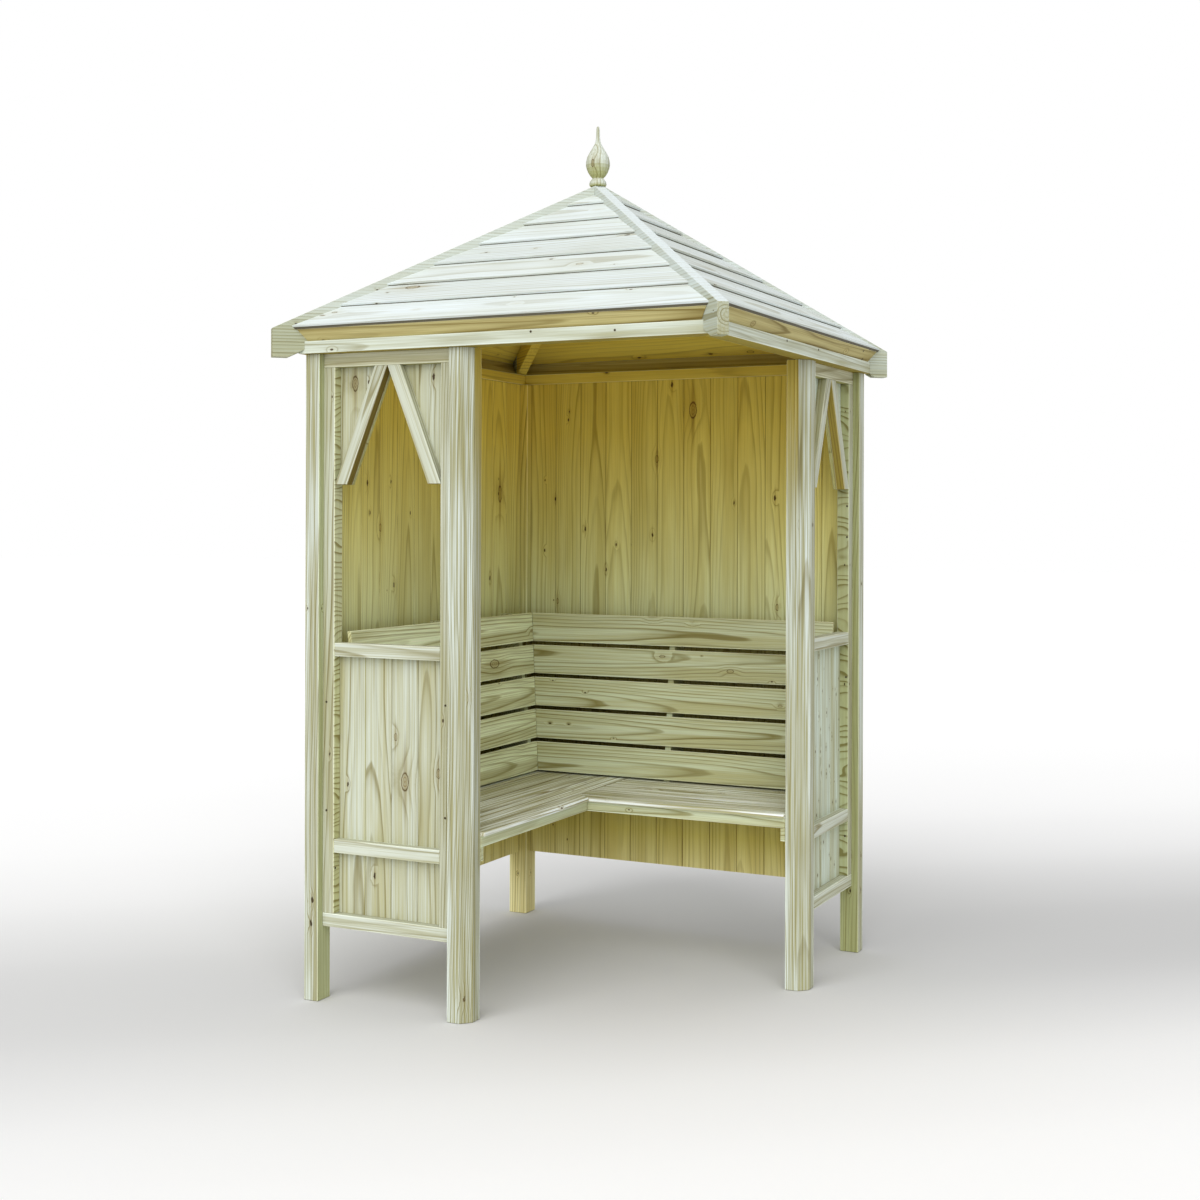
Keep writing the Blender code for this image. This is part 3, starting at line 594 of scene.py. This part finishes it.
# Heights up a lap's butt face over which its painted shadow fades out.
LAP_BUTT = (0.0071, 0.0083)
ROOF_DEEP = tint(204, 209, 196)
ROOF_MARKS = {
    "front": (
        (0.062, -0.121, 2.266, 0.0042), (0.232, -0.280, 2.157, 0.0048), (-0.568, -0.604, 1.935, 0.0060),
        (-0.537, -0.590, 1.944, 0.0060), (-0.346, -0.481, 2.019, 0.0120), (0.059, -0.603, 1.935, 0.0040),
        (-0.255, -0.603, 1.935, 0.0038),
    ),
    "back": ((-0.163, 0.648, 1.914, 0.0040), (0.100, 0.645, 1.915, 0.0042)),
}
# The boards' undersides take the painted inside shade.
for side, along, out in SIDES:
    eave = ROOF_MIDDLE + EAVE_Z * Z_AXIS + EAVE * out
    up = (ROOF_SLOPE * Z_AXIS - out).normalized()
    timber("roof_boards_" + side, along, up, WASHED_AND_SKYLIT, ROOF_DEEP, board=COURSE, start=eave,
           pith=(0.030, 0.080), ring=0.0105, lines=0.5, knots=0.06, marks=ROOF_MARKS.get(side, ()),
           fine=0.35, streaks=0.4, shelter=EVERYWHERE, butts=LAP_BUTT)

# Finial. It is turned on the lathe from one length, with a collar, a bulb and a long
# thin tip, and its lower faces take a darker green, painted shade.
FINIAL_PALE = tint(224, 232, 222)
FINIAL_UNDER = (tint(182, 186, 132), 0.25, -0.60)
FINIAL_KNOT = (0.000, -0.036, 2.428, 0.0058)
timber("finial", Z_AXIS, X_AXIS, FINIAL_PALE, FRAME_DEEP, pith=(0.010, 0.03), ring=0.0080, knots=0.0,
       dots=0.0, marks=(FINIAL_KNOT,), fine=0.3, streaks=0.2, under=FINIAL_UNDER)

# Bench. Slatted seats run along both back walls over cross cleats, with a rail
# behind the front edge, a wall ledger, and five reclined boards on battens.
# The left wing's backs are painted lighter than the right's, for the more light that falls on them.
BACK_PALE_PAINTED_LIGHT = {"left": tint(243, 254, 219), "right": tint(202, 210, 178)}
RAIL_UNDER_SEAT = BACK_PALE_PAINTED_LIGHT["right"]
BENCH_DEEP = tint(174, 170, 116)
SEAT_PALE = tint(248, 255, 255)
SEAT_DEEP = tint(166, 163, 114)
BACK_MARKS = {
    "bench_right_back_board_5": ((-0.052, 0.515, 1.034, 0.0060), (0.091, 0.515, 1.022, 0.0040)),
    "bench_right_back_board_3": ((-0.474, 0.510, 0.800, 0.0036), (0.070, 0.510, 0.826, 0.0036)),
    "bench_right_back_board_4": ((-0.012, 0.512, 0.914, 0.0055),),
    "bench_left_back_board_4": ((-0.490, 0.240, 0.891, 0.0150),),
    "bench_left_back_board_1": ((-0.450, 0.379, 0.610, 0.0060),),
}
BACK_RUN = 0.053
BACK_LENGTH = 0.53
SEAT_BOARD = 0.101
SEAT_MIDDLE = Vector((0.007, 0.010, 0.504))
SEAT_BACK = 0.5365
back_lean = math.asin(BACK_RUN / BACK_LENGTH)
for wing, along, inward in (("left", Y_AXIS, X_AXIS), ("right", X_AXIS, -Y_AXIS)):
    up = (math.cos(back_lean) * Z_AXIS - math.sin(back_lean) * inward).normalized()
    for k in range(1, 6):
        name = "bench_%s_back_board_%d" % (wing, k)
        timber(name, along, up, BACK_PALE_PAINTED_LIGHT[wing], BENCH_DEEP, pith=(0.045, 0.050), ring=0.0075, lines=1.0,
               knots=0.04, marks=BACK_MARKS.get(name, ()))
    timber("bench_%s_seat" % wing, along, inward, SEAT_PALE, SEAT_DEEP, board=SEAT_BOARD,
           start=SEAT_MIDDLE - SEAT_BACK * inward, pith=(0.030, 0.060), ring=0.0100, lines=1.0,
           knots=0.04, fine=0.9, joint=0.0060)
    for piece in ("front_rail", "frame"):
        timber("bench_%s_%s" % (wing, piece), along, Z_AXIS, RAIL_UNDER_SEAT, BENCH_DEEP,
               pith=(0.010, 0.04), knots=0.06)

# Screws and nails. Countersunk heads, dulled by the weather, hold the panels to the
# posts and the plates and the right-hand eaves together. One is shaped with a domed
# rim and a sunk drive, and the rest are copies.
HEAD_RADIUS = 0.0032
HEAD_DEPTH = 0.0012
HEAD_RIM = 0.0004
HEAD_DOME = 0.0003
DRIVE_LAND = 0.0012
DRIVE_WALL = 0.0001
DRIVE_DEPTH = 0.0006
bpy.ops.object.select_all(action="DESELECT")
bpy.context.tool_settings.mesh_select_mode = (False, False, True)
bpy.ops.mesh.primitive_cylinder_add(
    vertices=14, radius=HEAD_RADIUS, depth=HEAD_DEPTH, location=(0.0, 0.0, 0.0)
)
head = bpy.context.object
bpy.ops.object.mode_set(mode="EDIT")
bpy.ops.mesh.select_all(action="DESELECT")
bpy.ops.object.mode_set(mode="OBJECT")
for face in head.data.polygons:
    face.select = face.normal.z > 0.9
bpy.ops.object.mode_set(mode="EDIT")
bpy.ops.mesh.inset(thickness=HEAD_RIM)
bpy.ops.transform.translate(value=(0.0, 0.0, HEAD_DOME))
bpy.ops.mesh.inset(thickness=DRIVE_LAND)
bpy.ops.mesh.inset(thickness=DRIVE_WALL)
bpy.ops.transform.translate(value=(0.0, 0.0, -DRIVE_DEPTH))
bpy.ops.object.mode_set(mode="OBJECT")

steel = bpy.data.materials.new("dull_zinc")
steel.use_nodes = True
tree = steel.node_tree
shader = tree.nodes["Principled BSDF"]
here = add(tree, "TexCoord").outputs["Object"]
grime = add(tree, "TexNoise", {"Vector": here, "Scale": 900.0, "Detail": 3.0}).outputs[0]
tree.links.new(mixed(tree, grime, tint(46, 38, 22), tint(98, 88, 64)), shader.inputs["Base Color"])
tree.links.new(plus(tree, grime, 0.4, 0.4), shader.inputs["Roughness"])
shader.inputs["Metallic"].default_value = 0.5
head.data.materials.append(steel)

# The piece that each group sits in, the way its heads look, and their places
EAVE_OUT = (X_AXIS - ROOF_SLOPE * Z_AXIS).normalized()
FIXINGS = (
    ("left_panel_stile_outer", -Y_AXIS, (-0.559, -0.593, 0.845), (-0.558, -0.593, 0.538)),
    ("left_panel_stile_outer", X_AXIS, (-0.533, -0.585, 0.375)),
    ("left_panel_stile_entry", -Y_AXIS, (-0.165, -0.593, 0.855), (-0.165, -0.593, 0.548)),
    ("right_panel_stile_entry", -Y_AXIS, (0.604, 0.550, 1.408), (0.604, 0.550, 1.311),
     (0.602, 0.550, 0.871), (0.600, 0.550, 0.372)),
    ("plate_front", -Y_AXIS, (0.118, -0.632, 1.858), (0.364, -0.632, 1.850)),
    ("plate_right", X_AXIS, (0.652, -0.138, 1.858), (0.652, 0.129, 1.858)),
    ("fascia_right", EAVE_OUT, (0.6637, 0.5252, 1.8904), (0.6490, 0.5572, 1.8690)),
    ("roof_boards_right", EAVE_OUT, (0.6720, -0.505, 1.9000), (0.6720, -0.214, 1.9000),
     (0.6720, 0.101, 1.9000)),
)
for number, (name, out, *spots) in enumerate(FIXINGS):
    for k, spot in enumerate(spots):
        screw = head.copy()
        screw.data = head.data.copy()
        screw.name = "head_%d_%d" % (number, k)
        screw.data.transform(Matrix.Translation(spot) @ out.to_track_quat("Z", "Y").to_matrix().to_4x4())
        bpy.context.collection.objects.link(screw)
        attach(screw, "root")
bpy.data.objects.remove(head)

# Floor: one pale sweep that runs out to white, with painted shade in a grey valley that passes under
# the arbor and deepens along its length. Across the valley, in metres, then the depth.
FLOOR_WIDE = 80.0
FLOOR_Z = -0.001
FLOOR_WHITE = 0.98
FLOOR_FOR_LIGHT = 0.80
FLOOR_GLOW = 0.06
VALLEY_AT = (-0.18, -0.22, 0.0)
VALLEY_TURN = 0.707
VALLEY_FROM = -2.0
VALLEY_TO = 6.0
VALLEY_LENGTH = (-1.8, 1.9)
VALLEY_DEPTH = (0.25, 0.36)
VALLEY = (
    (-1.9, 0.02), (-1.35, 0.14), (-0.85, 0.42), (-0.35, 0.86), (0.1, 1.0),
    (0.6, 0.84), (1.3, 0.42), (2.2, 0.14), (3.6, 0.04),
)
bpy.ops.object.select_all(action="DESELECT")
bpy.ops.mesh.primitive_plane_add(size=FLOOR_WIDE, location=(0.0, 0.0, FLOOR_Z))
floor = bpy.context.object
floor.name = "studio_floor"
sweep = bpy.data.materials.new("studio_sweep")
sweep.use_nodes = True
tree = sweep.node_tree
sheet = tree.nodes["Principled BSDF"]
here = vector(tree, "SUBTRACT", add(tree, "TexCoord").outputs["Object"], VALLEY_AT)
here = add(tree, "Mapping", {0: here, 2: (0.0, 0.0, -VALLEY_TURN)}).outputs[0]
length, breadth = split(tree, here)[:2]
across = add(tree, "MapRange", {0: breadth, 1: VALLEY_FROM, 2: VALLEY_TO, 3: 0.0, 4: 1.0}).outputs[0]
ramp = add(tree, "ValToRGB", {0: across})
ramp.color_ramp.interpolation = "CARDINAL"
stops = ramp.color_ramp.elements
stops[0].color = stops[1].color = (0.0, 0.0, 0.0, 1.0)
for at, level in VALLEY:
    stops.new((at - VALLEY_FROM) / (VALLEY_TO - VALLEY_FROM)).color = (level, level, level, 1.0)
painted_floor_shade = times(tree, ease(tree, length, *VALLEY_LENGTH, *VALLEY_DEPTH), ramp.outputs[0])
seen = add(tree, "LightPath").outputs["Is Camera Ray"]
grey = between(tree, seen, FLOOR_FOR_LIGHT, maths(tree, "SUBTRACT", FLOOR_WHITE, painted_floor_shade))
grey = add(tree, "CombineColor", {0: grey, 1: grey, 2: grey}).outputs[0]
glow = times(tree, seen, maths(tree, "SUBTRACT", 1.0, ramp.outputs[0]))
tree.links.new(grey, sheet.inputs["Base Color"])
tree.links.new(times(tree, glow, FLOOR_GLOW), sheet.inputs["Emission Strength"])
sheet.inputs["Emission Color"].default_value = (1.0, 1.0, 1.0, 1.0)
sheet.inputs["Roughness"].default_value = 0.95
sheet.inputs["Specular IOR Level"].default_value = 0.0
floor.data.materials.append(sweep)

# Light: an even white surround, seen as plain white, and a broad soft lamp in front
SURROUND = 0.56
LAMP = 2.2
LAMP_SPREAD = 70.0
LAMP_FROM = Vector((0.18, -0.78, 0.60))
world = bpy.data.worlds.new("studio")
bpy.context.scene.world = world
world.use_nodes = True
tree = world.node_tree
surround = tree.nodes["Background"]
seen = add(tree, "LightPath").outputs["Is Camera Ray"]
tree.links.new(between(tree, seen, SURROUND, 1.0), surround.inputs["Strength"])
surround.inputs["Color"].default_value = (1.0, 1.0, 1.0, 1.0)
lamp = bpy.data.lights.new("soft_key", "SUN")
lamp.energy = LAMP
lamp.angle = math.radians(LAMP_SPREAD)
key = bpy.data.objects.new("soft_key", lamp)
key.rotation_euler = LAMP_FROM.to_track_quat("Z", "Y").to_euler()
bpy.context.collection.objects.link(key)

# Camera, standing to the right of the entry and looking level, at chest height
CAMERA_AT = (2.2165, -4.4587, 1.3653)
CAMERA_TURN = 0.45945
CAMERA_ROLL = 0.00309
camera = bpy.data.objects.new("camera", bpy.data.cameras.new("camera"))
camera.data.lens = 49.72
camera.data.sensor_width = 36.0
camera.data.shift_y = -0.0675
camera.data.clip_end = 200.0
camera.matrix_world = (
    Matrix.Translation(CAMERA_AT)
    @ Matrix.Rotation(CAMERA_TURN, 4, "Z")
    @ Matrix.Rotation(math.pi / 2, 4, "X")
    @ Matrix.Rotation(CAMERA_ROLL, 4, "Z")
)
bpy.context.collection.objects.link(camera)
bpy.context.scene.camera = camera
bpy.context.scene.view_settings.view_transform = "Standard"
